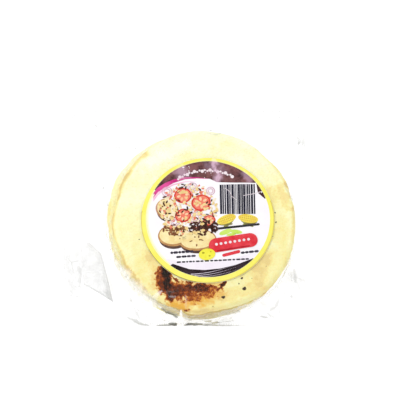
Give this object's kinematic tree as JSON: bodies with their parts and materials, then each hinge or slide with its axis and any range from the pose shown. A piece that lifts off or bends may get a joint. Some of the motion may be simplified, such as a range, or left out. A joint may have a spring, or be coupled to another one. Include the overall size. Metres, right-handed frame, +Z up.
{
  "type": "bagged stack of cheese pupusas",
  "caption": "Clear sealed bag laid flat over a stack of round filled corn flatbreads, with a round printed sticker on top; holds, shows and keeps the breads.",
  "frame": {"origin": "on the surface the bag lies on, under the middle of the bag's outline", "axes": "+Z up through the sticker, +X along the bag's long side, +Y towards the bag's back edge"},
  "size_m": [0.178, 0.1566, 0.0261],
  "materials": {
    "bag_film": "clear glossy film over pale yellow corn dough",
    "label_paper": "coated paper, printed, slightly glossy"
  },
  "bodies": {
    "root": {"bag": "bag_film", "label": "label_paper"}
  },
  "joints": []
}
